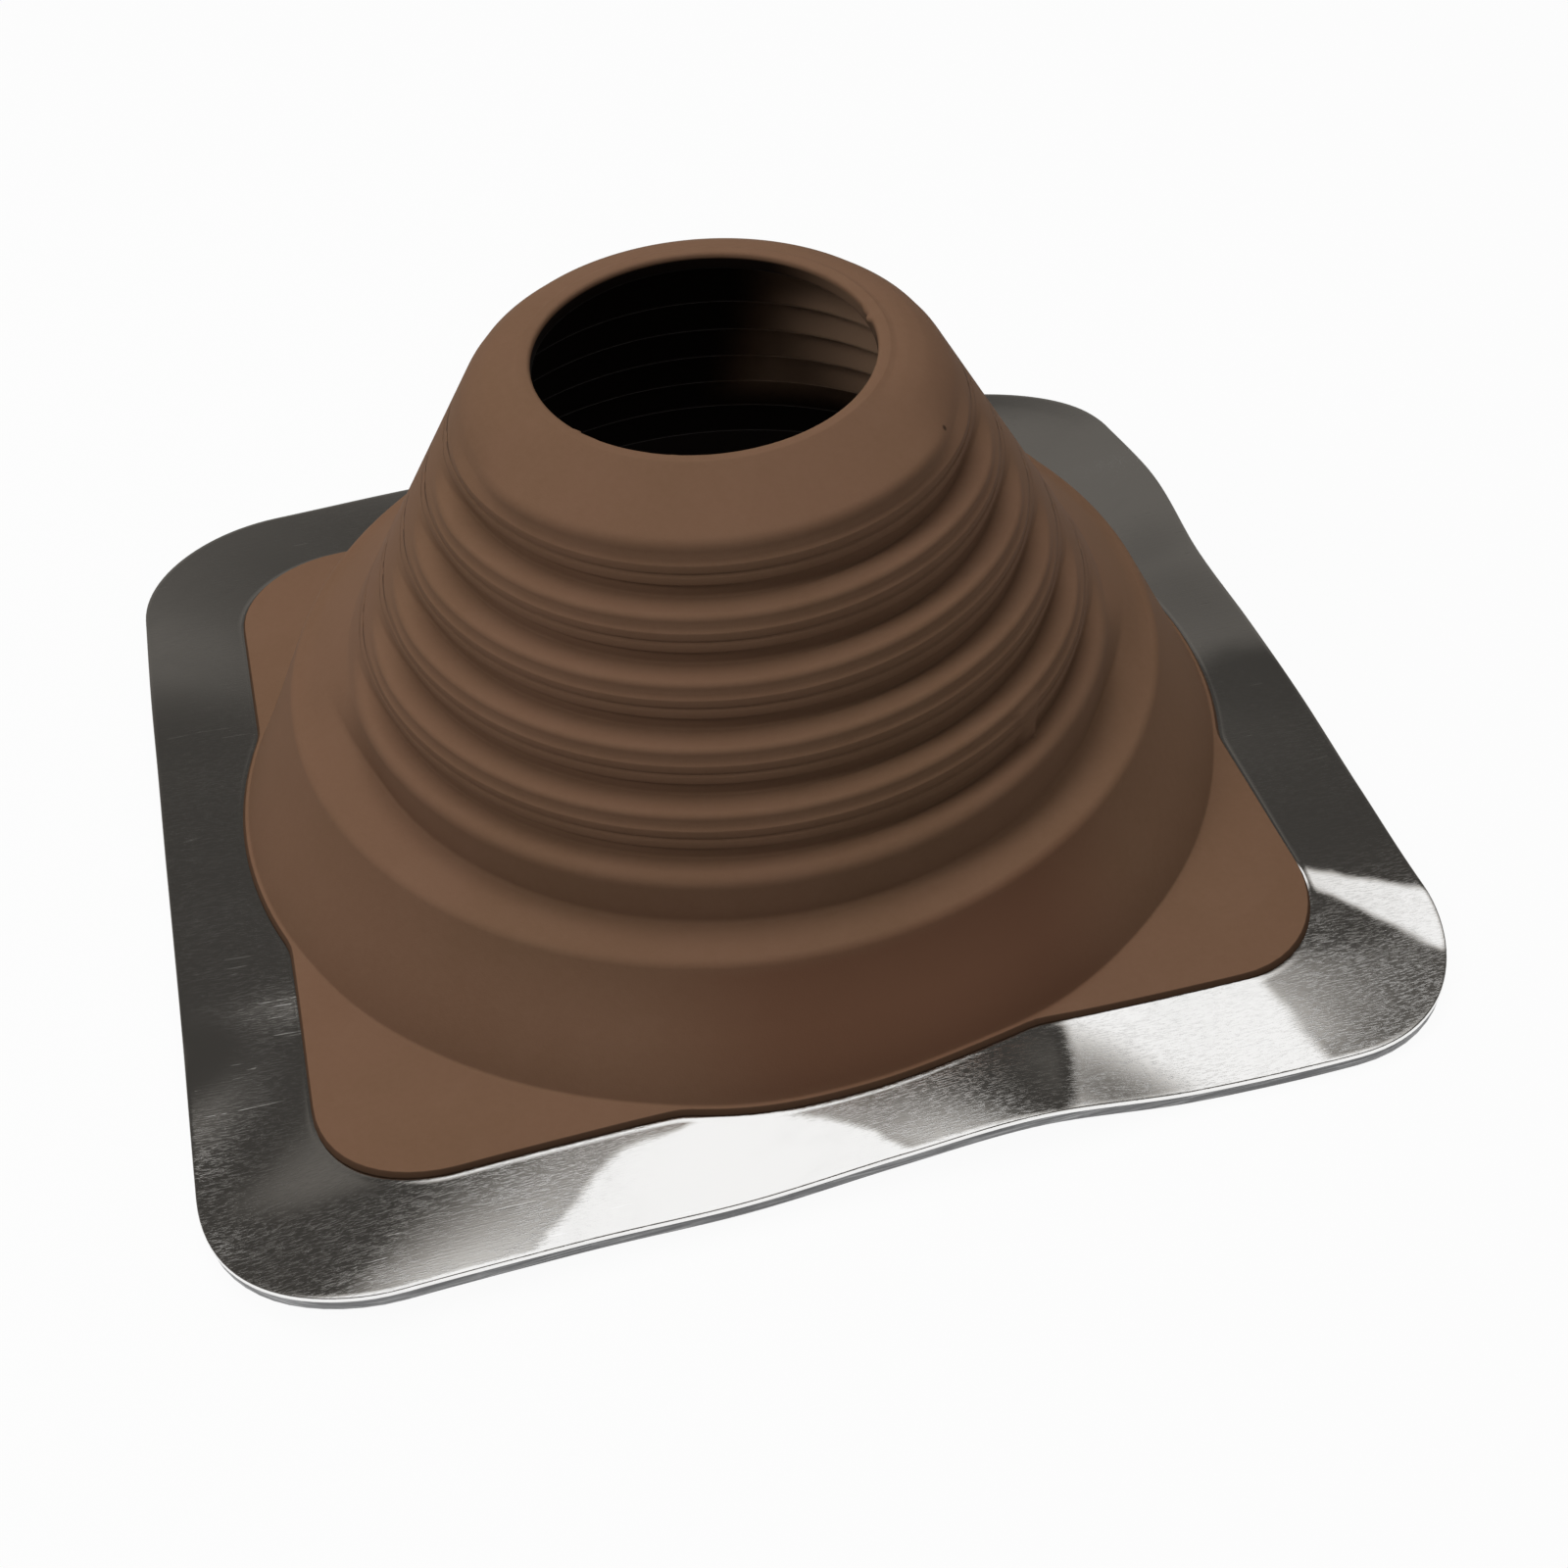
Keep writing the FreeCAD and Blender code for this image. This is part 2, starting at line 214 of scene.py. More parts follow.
def makeRubber():
    look = rubberLook
    material, net = newMaterial("brown_rubber")
    place = net.add("ShaderNodeTexCoord", out=3)
    x, y, z = net.axes(place)
    clouds = net.noise(place, *look["mottle"]).fade(*look["mottleEdge"])
    smudge = net.noise(place, *look["cloud"]).fade(*look["cloudEdge"])
    grain = net.noise(place, *look["grain"])
    fine = net.noise(place, *look["fine"])
    colour = net.blend(clouds * look["mottleShare"], look["colour"], look["deep"])
    colour = net.blend(smudge * look["cloudShare"], colour, look["pale"])
    colour = net.blend((fine - 0.5) * look["fineShare"] + look["fineLeast"], colour, look["pale"])
    ring = (x * x + y * y) ** 0.5
    # painted shade on the skirt's front, blended towards a darker, deeper brown
    skirtShade = ring.fadeAt(look["skirtInner"]) * ring.fadeAt(look["skirtOuter"]) * y.fadeAt(look["skirtFront"])
    skirtShade = skirtShade * x.fadeAt(look["skirtLeft"]) * x.fadeAt(look["skirtRight"])
    colour = net.blend(skirtShade * look["skirtShadeShare"], colour, look["under"])
    speck = tuple(part * mm for part in look["speck"])
    away = net.add("ShaderNodeVectorMath", {"operation": "DISTANCE"}, {0: place, 1: speck}, out=1)
    colour = net.blend(away.fadeAt(look["speckEdge"]) * look["speckShare"], colour, look["shade"])
    # painted shade from the dark attribute darkens the inner wall and the rim's bevel, and a painted pool of light
    # lightens the inner wall's right side near the mouth
    dark = net.add("ShaderNodeAttribute", {"attribute_name": "dark"}, out=2)
    towards = x * look["litAlong"][0] + y * look["litAlong"][1]
    innerLight = towards.fadeAt(look["litEdge"]) * z.fadeAt(look["litUp"])
    paintedShade = dark * (1 - innerLight)
    colour = net.blend(dark * innerLight, colour, look["paintedLight"])
    colour = net.blend(paintedShade * look["paintedShadeShare"], colour, look["shade"])
    rough = look["roughness"] + (smudge - 0.5) * look["cloudRough"] + (fine - 0.5) * look["fineRough"]
    normal = net.bump(grain + fine * look["fineRelief"], look["relief"], look["reliefDepth"] * mm)
    finish(net, {"Specular IOR Level": look["gloss"]},
           {"Base Color": colour, "Roughness": rough + paintedShade * look["darkRough"], "Normal": normal})
    return material


sealLook = dict(
    colour=(0.52, 0.52, 0.525, 1), dark=(0.22, 0.22, 0.225, 1), pale=(0.80, 0.80, 0.80, 1),
    stretch=(60, 60, 1500), streak=(1.0, 4, 0.6, 0.3), darkEdge=(0.4, 0.66), paleEdge=(0.56, 0.78), paleShare=0.6,
    blot=(160, 3, 0.6), blotEdge=(0.6, 0.8), blotShare=0.3,
    roughness=0.42, streakRough=0.2, gloss=0.5, relief=0.35, reliefDepth=0.3, blotRelief=0.4,
)


def makeSealEdge():
    look = sealLook
    material, net = newMaterial("grey_seal_edge")
    place = net.add("ShaderNodeTexCoord", out=3)
    streaks = net.noise(net.stretch(place, look["stretch"]), *look["streak"])
    blots = net.noise(place, *look["blot"])
    colour = net.blend(streaks.fade(*look["darkEdge"]), look["dark"], look["colour"])
    paler = streaks.fade(*look["paleEdge"]) * look["paleShare"] + blots.fade(*look["blotEdge"]) * look["blotShare"]
    colour = net.blend(paler, colour, look["pale"])
    rough = look["roughness"] + streaks * look["streakRough"]
    normal = net.bump(streaks + blots * look["blotRelief"], look["relief"], look["reliefDepth"] * mm)
    finish(net, {"Specular IOR Level": look["gloss"]}, {"Base Color": colour, "Roughness": rough, "Normal": normal})
    return material


metalLook = dict(
    colour=(0.90, 0.895, 0.885, 1), dull=(0.76, 0.755, 0.745, 1), spark=(0.97, 0.97, 0.97, 1),
    smooth=0.10, scuffed=0.28, stainRough=0.05, relief=0.11, reliefDepth=0.2,
    # short rolling flecks lie along the plate's front, and fainter ones elsewhere
    fleckStretch=(420, 2700, 600), fleck=(1.0, 3, 0.75), fleckEdge=(0.50, 0.66), fleckShare=0.5, fleckRelief=0.8,
    zone=(16, 2, 0.5), zoneEdge=(0.25, 0.60), zoneFront=(-85, -120), zoneLeast=0.25,
    lineStretch=(12, 2600, 400), lineTurn=0.03, line=(1.0, 3, 0.6), lineRelief=0.3,
    # a few thin scratches, as the turn and the shift of each set, show in patches
    scratches=((0.5, 0.3), (-0.9, 1.7), (1.25, 2.9)), scratchStretch=(40, 1100, 60), scratch=(1.0, 1, 0.4),
    scratchEdge=(0.71, 0.76), patch=(70, 30), patchEdge=(0.56, 0.64), scratchShare=0.5, scratchRelief=0.8,
    stain=(30, 5, 0.65, 0.5), stainEdge=(0.45, 0.75), stainShare=0.30, stainRoughEdge=(0.4, 0.8),
    # the sheet isn't flat: slow waves all over, as shares of tilt in x and y
    wave=(9, 2, 0.5, 0.3), waveTilt=(0.03, 0.05), wobble=(60, 2, 0.5), wobbleReach=6,
    # places where the sheet is rolled, so that it mirrors something else: tilt in x and y, softness in
    # millimetres, and the lines that bound it as (share of x, share of y, distance from the axis)
    rolls=[
        (0.0, -0.17, 2.0,
         [(-0.716, 0.699, -48.2), (0.0, 1.0, -129.5), (0.404, 0.915, -130.4), (0.772, 0.635, -94.8)]),
        (0.0, -0.23, 3.5, [(-0.961, 0.276, -82.4), (0.984, 0.181, 73.5), (0.0, 1.0, -125.0)]),
        (-0.04, -0.24, 2.5, [(0.463, 0.886, -27.2), (-0.807, -0.59, -40.5), (-1.0, 0.0, -122.0)]),
        (0.0, 0.12, 9.0, [(-1.0, 0.0, -120.0), (0.0, 1.0, 95.0), (0.0, -1.0, 12.0)]),
        (0.10, -0.04, 3.0, [(-0.459, -0.889, 129.5), (0.961, -0.276, 81.5), (0.0, 1.0, -118.0)]),
        (-0.06, 0.13, 9.0, [(1.0, 0.0, -108.0), (0.0, 1.0, -68.0), (0.0, -1.0, 122.0)]),
        (0.0, -0.042, 6.0, [(0.0, 1.0, -122.0)]),
    ],
)


def makeMetal():
    look = metalLook
    material, net = newMaterial("mill_aluminium")
    place = net.add("ShaderNodeTexCoord", out=3)
    x, y, z = net.axes(place)
    flecks = net.noise(net.stretch(place, look["fleckStretch"]), *look["fleck"]).fade(*look["fleckEdge"])
    zone = net.noise(place, *look["zone"]).fade(*look["zoneEdge"])
    flecks = flecks * zone * y.fadeAt(look["zoneFront"]).mix(look["zoneLeast"], 1.0)
    lines = net.noise(net.stretch(place, look["lineStretch"], look["lineTurn"]), *look["line"])
    scratches = net.number(0.0)
    for turn, shift in look["scratches"]:
        moved = net.stretch(place, look["scratchStretch"], turn, shift)
        thin = net.noise(moved, *look["scratch"]).fade(*look["scratchEdge"])
        patches = net.noise(place, look["patch"][0] + look["patch"][1] * shift, 2, 0.6).fade(*look["patchEdge"])
        scratches = scratches.math("MAXIMUM", thin * patches)
    stains = net.noise(place, *look["stain"])
    waves = net.noise(place, *look["wave"]) - 0.5
    wobble = (net.noise(place, *look["wobble"]) - 0.5) * look["wobbleReach"] * mm
    tiltX = waves * look["waveTilt"][0]
    tiltY = waves * look["waveTilt"][1]
    for sideways, forwards, soft, bounds in look["rolls"]:
        share = net.number(1.0)
        for a, b, away in bounds:
            share = share * (x * a + y * b - away * mm + wobble).fadeAt((soft, -soft))
        tiltX = share * sideways + tiltX
        tiltY = share * forwards + tiltY
    surface = net.add("ShaderNodeNewGeometry", out=1)
    tilt = net.add("ShaderNodeCombineXYZ", None, {0: tiltX, 1: tiltY, 2: 0.0})
    rolled = net.add("ShaderNodeVectorMath", {"operation": "ADD"}, {0: surface, 1: tilt})
    rolled = net.add("ShaderNodeVectorMath", {"operation": "NORMALIZE"}, {0: rolled})
    colour = net.blend(stains.fade(*look["stainEdge"]) * look["stainShare"], look["colour"], look["dull"])
    colour = net.blend(flecks * look["fleckShare"] + scratches * look["scratchShare"], colour, look["spark"])
    rough = look["smooth"] + flecks * (look["scuffed"] - look["smooth"])
    rough = rough + stains.fade(*look["stainRoughEdge"]) * look["stainRough"]
    height = lines * look["lineRelief"] + flecks * look["fleckRelief"] - scratches * look["scratchRelief"]
    normal = net.bump(height, look["relief"], look["reliefDepth"] * mm, rolled)
    finish(net, {"Metallic": 1.0}, {"Base Color": colour, "Roughness": rough, "Normal": normal})
    return material


rubber = makeRubber()
sealEdge = makeSealEdge()
metal = makeMetal()
print("materials made")


# sections: a closed loop of corners that is swept round the axis
# a corner is (radius, height, rounding, cuts, flange share, plate share), in millimetres
# with a share of 1 the radius is counted from that outline instead of from the axis

# front and fade are degrees: where the stepped front lies and how far from there it gives way to the rear
outline = dict(
    flangeHalf=124.8, flangeCorner=30, bulge=132, bulgeBlend=1.5,
    plateHalf=152.5, plateCorner=42, front=-99, fade=(64, 87), collarFade=0.25,
)
# support rows stand beside an edge, longest is the share of a side that a rounding may take
spacing = dict(support=0.6, shortest=4, longest=0.48, straight=3.1)


def fullReach(radius, flange, plate):
    return radius + flange * outline["bulge"] + plate * outline["plateHalf"]


def roundedSection(corners, widest):
    full = [Vector((fullReach(radius, flange, plate), height))
            for radius, height, rounding, cuts, flange, plate in corners]
    points = []
    for index, (radius, height, rounding, cuts, flange, plate) in enumerate(corners):
        here = full[index]
        before = full[index - 1] - here
        after = full[(index + 1) % len(full)] - here
        a, b = before.normalized(), after.normalized()
        angle = math.acos(max(-1, min(1, a.dot(b))))
        if rounding <= 0 or angle > spacing["straight"]:
            points.append((radius, height, flange, plate))
            continue
        most = spacing["longest"] * min(before.length, after.length)
        reach = min(rounding / math.tan(angle / 2), most)
        rounding = reach * math.tan(angle / 2)
        centre = here + (a + b).normalized() * rounding / math.sin(angle / 2)
        start, end = here + a * reach - centre, here + b * reach - centre
        for cut in range(cuts + 1):
            share = cut / cuts
            spread = math.pi - angle
            spoke = (start * math.sin((1 - share) * spread) + end * math.sin(share * spread)) / math.sin(spread)
            spot = centre + spoke
            points.append((radius + spot.x - here.x, spot.y, flange, plate))
    rows = []
    for index, point in enumerate(points):
        rows.append(point)
        following = points[(index + 1) % len(points)]
        apart = fullReach(following[0], *following[2:]) - fullReach(point[0], *point[2:])
        gap = math.hypot(apart, following[1] - point[1])
        shares = []
        if gap > spacing["shortest"] * spacing["support"]:
            count = math.ceil(gap / widest)
            edge = spacing["support"] / gap
            shares = [edge] + [k / count for k in range(1, count)] + [1 - edge]
        for share in shares:
            rows.append(tuple(p + (q - p) * share for p, q in zip(point, following)))
    return rows


# the nearest place on a bent line of (radius, height) points
def onto(point, line):
    best = None
    for start, end in zip(line, line[1:]):
        a, b, p = Vector(start), Vector(end), Vector(point)
        share = max(0, min(1, (p - a).dot(b - a) / (b - a).length_squared))
        place = a + (b - a) * share
        if best is None or (p - place).length < (p - best).length:
            best = place
    return best


# the section carries each row's place as attributes, for the sweep to read
def sectionObject(name, rows, rear, bandTop):
    mesh = bpy.data.meshes.new(name)
    count = len(rows)
    mesh.from_pydata([(r * mm, 0, z * mm) for r, z, f, p in rows], [(i, (i + 1) % count) for i in range(count)], [])
    columns = dict(reach=[r * mm for r, z, f, p in rows], height=[z * mm for r, z, f, p in rows],
                   flangeShare=[f for r, z, f, p in rows], plateShare=[p for r, z, f, p in rows],
                   band=[float(p == 1 and z < bandTop) for r, z, f, p in rows],
                   rearReach=[row[0] * mm for row in rear], rearHeight=[row[1] * mm for row in rear],
                   # the last column is each row's share of painted shade, on the inner wall and on the flange's rim
                   # bevel
                   soft=[row[2] for row in rear], dark=[row[3] for row in rear])
    for key, values in columns.items():
        mesh.attributes.new(key, "FLOAT", "POINT").data.foreach_set("value", values)
    obj = bpy.data.objects.new(name, mesh)
    bpy.context.scene.collection.objects.link(obj)
    return obj


# one tree sweeps a section round the axis and lets its rim follow the two outlines
def sweepTree():
    tree = bpy.data.node_groups.new("sweep_round", "GeometryNodeTree")
    face = tree.interface
    face.new_socket(name="Section", in_out="INPUT", socket_type="NodeSocketGeometry")
    face.new_socket(name="Columns", in_out="INPUT", socket_type="NodeSocketInt")
    for name in ("Flange Half", "Flange Corner", "Bulge Radius", "Bulge Blend", "Plate Half", "Plate Corner",
                 "Front", "Fade Start", "Fade End", "Collar Fade"):
        face.new_socket(name=name, in_out="INPUT", socket_type="NodeSocketFloat")
    face.new_socket(name="Material", in_out="INPUT", socket_type="NodeSocketMaterial")
    face.new_socket(name="Band Material", in_out="INPUT", socket_type="NodeSocketMaterial")
    face.new_socket(name="Geometry", in_out="OUTPUT", socket_type="NodeSocketGeometry")
    net = Net(tree)
    entry = net.add("NodeGroupInput").socket.node
    given = lambda name: Val(net, entry.outputs[name])
    stored = lambda name: net.add("GeometryNodeInputNamedAttribute", {"data_type": "FLOAT"}, {"Name": name})

    section = net.add("GeometryNodeMeshToCurve", None, {"Mesh": given("Section")})
    ring = net.add("GeometryNodeCurvePrimitiveCircle", None, {"Resolution": given("Columns"), "Radius": 1.0})
    turn = net.add("GeometryNodeInputIndex") / given("Columns") * math.tau
    ring = net.add("GeometryNodeStoreNamedAttribute", {"data_type": "FLOAT", "domain": "POINT"},
                   {"Geometry": ring, "Name": "turn", "Value": turn})
    swept = net.add("GeometryNodeCurveToMesh", None, {"Curve": ring, "Profile Curve": section})

    angle = stored("turn")
    cosine = angle.math("COSINE")
    sine = angle.math("SINE")
    across = cosine.math("ABSOLUTE").math("MAXIMUM", sine.math("ABSOLUTE"))
    along = cosine.math("ABSOLUTE").math("MINIMUM", sine.math("ABSOLUTE"))

    def squareRadius(half, corner):
        flat = half - corner
        side = half / across
        onCorner = (side * along).math("GREATER_THAN", flat)
        both = (across + along) * flat
        square = both * both - 2 * flat * flat + corner * corner
        arc = both + square.math("MAXIMUM", 0.0).math("SQRT")
        return onCorner.mix(side, arc)

    square = squareRadius(given("Flange Half"), given("Flange Corner"))
    flange = square.math("SMOOTH_MAX", given("Bulge Radius"), given("Bulge Blend"))
    plate = squareRadius(given("Plate Half"), given("Plate Corner"))
    # towards the front the section is used as it is, and towards the rear its rear version
    towards = (angle - given("Front")).math("COSINE")
    front = (towards - stored("soft") * given("Collar Fade")).fade(given("Fade End"), given("Fade Start"))
    reach = front.mix(stored("rearReach"), stored("reach"))
    radius = reach + stored("flangeShare") * flange + stored("plateShare") * plate
    height = front.mix(stored("rearHeight"), stored("height"))
    place = net.add("ShaderNodeCombineXYZ", None, {0: radius * cosine, 1: radius * sine, 2: height})
    moved = net.add("GeometryNodeSetPosition", None, {"Geometry": swept, "Position": place})
    smooth = net.add("GeometryNodeSetShadeSmooth", None, {"Geometry": moved})
    whole = net.add("GeometryNodeRealizeInstances", None, {"Geometry": smooth})
    plain = net.add("GeometryNodeSetMaterial", None, {"Geometry": whole, "Material": given("Material")})
    onBand = stored("band").math("GREATER_THAN", 0.99)
    banded = net.add("GeometryNodeSetMaterial", None,
                     {"Geometry": plain, "Selection": onBand, "Material": given("Band Material")})
    net.add("NodeGroupOutput", None, {"Geometry": banded})
    return tree


def sweep(tree, name, rows, rear, columns, material, band, bandTop=0.0):
    host = sectionObject(name + "_section", rows, rear, bandTop)
    modifier = host.modifiers.new("sweep", "NODES")
    modifier.node_group = tree
    start, end = (math.cos(math.radians(turn)) for turn in outline["fade"])
    given = {"Flange Half": outline["flangeHalf"] * mm, "Flange Corner": outline["flangeCorner"] * mm,
             "Bulge Radius": outline["bulge"] * mm, "Bulge Blend": outline["bulgeBlend"] * mm,
             "Plate Half": outline["plateHalf"] * mm, "Plate Corner": outline["plateCorner"] * mm,
             "Front": math.radians(outline["front"]), "Fade Start": start, "Fade End": end,
             "Collar Fade": outline["collarFade"], "Columns": columns, "Material": material, "Band Material": band}
    for item in tree.interface.items_tree:
        if item.in_out == "INPUT" and item.name in given:
            modifier[item.identifier] = given[item.name]
    bpy.context.view_layer.update()
    evaluated = host.evaluated_get(bpy.context.evaluated_depsgraph_get())
    mesh = bpy.data.meshes.new_from_object(evaluated)
    host.modifiers.remove(modifier)
    bpy.data.objects.remove(host)
    mesh.name = name
    obj = bpy.data.objects.new(name, mesh)
    bpy.context.scene.collection.objects.link(obj)
    return obj


# the soft boot has set a little out of true, and the thin plate is bent along its edges
# tip tilts the rings, cone and mouth move the middle of the steps and of the lip, in millimetres
# lift and pull are millimetres at even turns round the axis, starting at +X, and start is the share of the
# plate's half side from which they act, measured on a rounded square

bend = dict(
    tip=(0.0075, -0.060), flare=(0.97, 2.82), cone=(0.47, -4.62), mouth=(0.73, 4.03),
    tipFrom=6.2, tipFull=40.2, coneFrom=41.3, coneRise=80.0, coneReach=(98.75, 113.3), slack=0.0069,
    lift=[-0.3, 1.8, 2.9, -2.9, -3.2, 1.8, 2.2, 1.4, 0.7, 1.0, 0.4, 0.7, 2.9, 2.9,
          2.9, 2.9, 2.7, -2.9, 1.4, 0.4, -0.7, 1.1, 2.3, -3.2, -3.4, -2.9, -2.4, -2.0],
    pull=[0.5, -1.0, 1.1, 0.0, -5.6, -2.0, 0.0, 0.2, 0.0, 0.0, 0.0, 1.0, 1.2, 1.1,
          1.1, 1.0, 1.1, 2.8, 2.4, 0.8, 1.0, 0.5, 0.4, 1.0, 2.6, -1.8, -0.6, 1.0],
    start=0.66, squareness=6, skirtFade=30.0, mouthMost=1.2,
)


def ease(value):
    value = np.clip(value, 0, 1)
    return value * value * (3 - 2 * value)


# a smooth curve through values that stand at even turns
def aroundEdge(values, x, y):
    values = np.array(values)
    count = len(values)
    turn = (np.degrees(np.arctan2(y, x)) % 360) / 360 * count
    index = np.floor(turn).astype(int)
    share = turn - index
    a, b, c, d = (values[(index + k) % count] for k in (-1, 0, 1, 2))
    return b + 0.5 * share * (c - a + share * (2 * a - 5 * b + 4 * c - d + share * (3 * (b - c) + d - a)))


def settle(points):
    x, y, z = points.T.copy()
    rise = np.maximum(z - bend["tipFrom"], 0)
    tip = ease(rise / (bend["tipFull"] - bend["tipFrom"]))
    inner, outer = bend["coneReach"]
    cone = ease((outer - np.hypot(x, y)) / (outer - inner)) * tip
    mouth = np.clip((z - bend["coneFrom"]) / bend["coneRise"], 0, bend["mouthMost"]) * cone
    power = bend["squareness"]
    reach = (np.abs(x) ** power + np.abs(y) ** power) ** (1 / power) / outline["plateHalf"]
    edge = ease((reach - bend["start"]) / (1 - bend["start"]))
    low = 1 - ease(rise / bend["skirtFade"])
    lift = aroundEdge(bend["lift"], x, y) * edge * low
    pull = aroundEdge(bend["pull"], x, y) * edge * low
    scale = 1 - bend["slack"] * cone + pull / np.maximum(np.hypot(x, y), 1)
    shift = [bend["tip"][k] * rise + bend["flare"][k] * tip + bend["cone"][k] * cone + bend["mouth"][k] * mouth
             for k in (0, 1)]
    newZ = z - tip * (bend["tip"][0] * x + bend["tip"][1] * y) + lift
    return np.stack([x * scale + shift[0], y * scale + shift[1], newZ], 1)


def reshape(obj, change):
    mesh = obj.data
    flat = np.empty(len(mesh.vertices) * 3, np.float32)
    mesh.vertices.foreach_get("co", flat)
    points = change(flat.reshape(-1, 3).astype(float) / mm) * mm
    mesh.vertices.foreach_set("co", points.astype(np.float32).ravel())
    mesh.update()


def signedVolume(mesh):
    mesh.calc_loop_triangles()
    points = np.array([v.co[:] for v in mesh.vertices])
    triangles = np.array([t.vertices[:] for t in mesh.loop_triangles])
    a, b, c = (points[triangles[:, k]] for k in range(3))
    return float(np.einsum("ij,ij->i", a, np.cross(b, c)).sum() / 6)


def closeUp(obj):
    if signedVolume(obj.data) < 0:
        obj.data.flip_normals()
    for name in ("reach", "height", "flangeShare", "plateShare", "band", "turn", "rearReach", "rearHeight", "soft"):
        if name in obj.data.attributes:
            obj.data.attributes.remove(obj.data.attributes[name])
    print(obj.name, "faces", len(obj.data.polygons), "volume cm3", round(signedVolume(obj.data) * 1e6, 1))


# the boot

boot = dict(
    columns=300, widest=9.0,
    mouth=41.4, lipRound=1.0, lipWidth=4.2, lipEdge=1.2, lipEdgeRound=0.8, lipFoot=0.5, lipRise=0.6, lipDepth=4.2,
    lipUnder=0.3, collarSlope=0.4877, collarRound=6.5, collarRows=(3, 6.5), collarInside=2.0,
    wall=62.5, wallThick=2.8, wallHeight=10, stepRun=7.25, stepDrop=12.9, shoulder=2.9, corner=0.45, steps=5,
    shoulderLean=0.05, insideCorner=1.0, insideShoulder=0.9, lastWall=10.7, lastCorner=1.0,
    beadHeight=3.2, beadOut=1.0, beadRound=0.4, beadFlank=0.9, beadUnder=0.1,
    flareRun=14.55, flareDrop=1.3, flareRound=2.8, flareInside=0.8,
    skirtRun=17.1, skirtHeight=33.8, skirtThick=3.6, skirtFoot=0.8, skirtInside=1.0, foot=2, footRound=0.4,
    padThick=3.2, plateThick=1.5, flangeThick=1.5,
    # the rim's last value is the share of painted shade on the flange's rim bevel
    rimBevel=0.7, rimRound=0.4, rimSide=0.35, rimFoot=0.25, rimShade=0.55,
    hole=124, passage=120.5, passageRow=0.3, padInset=0.4, padTop=0.2, padFoot=0.5,
    sealLand=4, sealGroove=4, sealRib=2.5, sealDepth=1.3, seals=2, tie=0.3, slack=0.1,
    # at the rear the steps give way to a smooth wall: its radii and heights from the lip down
    rearLine=[(45.6, 128.8), (48.1, 128.5), (50.1, 127.9), (52.0, 127.15), (53.8, 126.15), (55.45, 124.95),
              (57.0, 123.5), (58.3, 122.0), (59.4, 120.25), (98.2, 52.0)],
    # flash and nicks left round the mouth: turn in degrees, width and height in millimetres
    flash=[(-148, 2.0, 0.7), (-142, 4.0, 0.35), (-124, 7.0, 0.45), (-113.5, 1.4, 0.8), (-98, 6.0, 0.25),
           (0.5, 2.2, 0.9), (5, 3.0, 0.3)],
    flashBelow=(0.2, 0.8), flashAbove=(3.4, 1.4), flashReach=0.9, flashPower=4,
    # a moulding mark fills the beads of the last step at one place, in degrees and millimetres
    mark=dict(turn=-51.8, half=2.7, widen=0.15, low=52.4, high=65.4, radius=92.9, reach=1.5, edge=0.8),
)


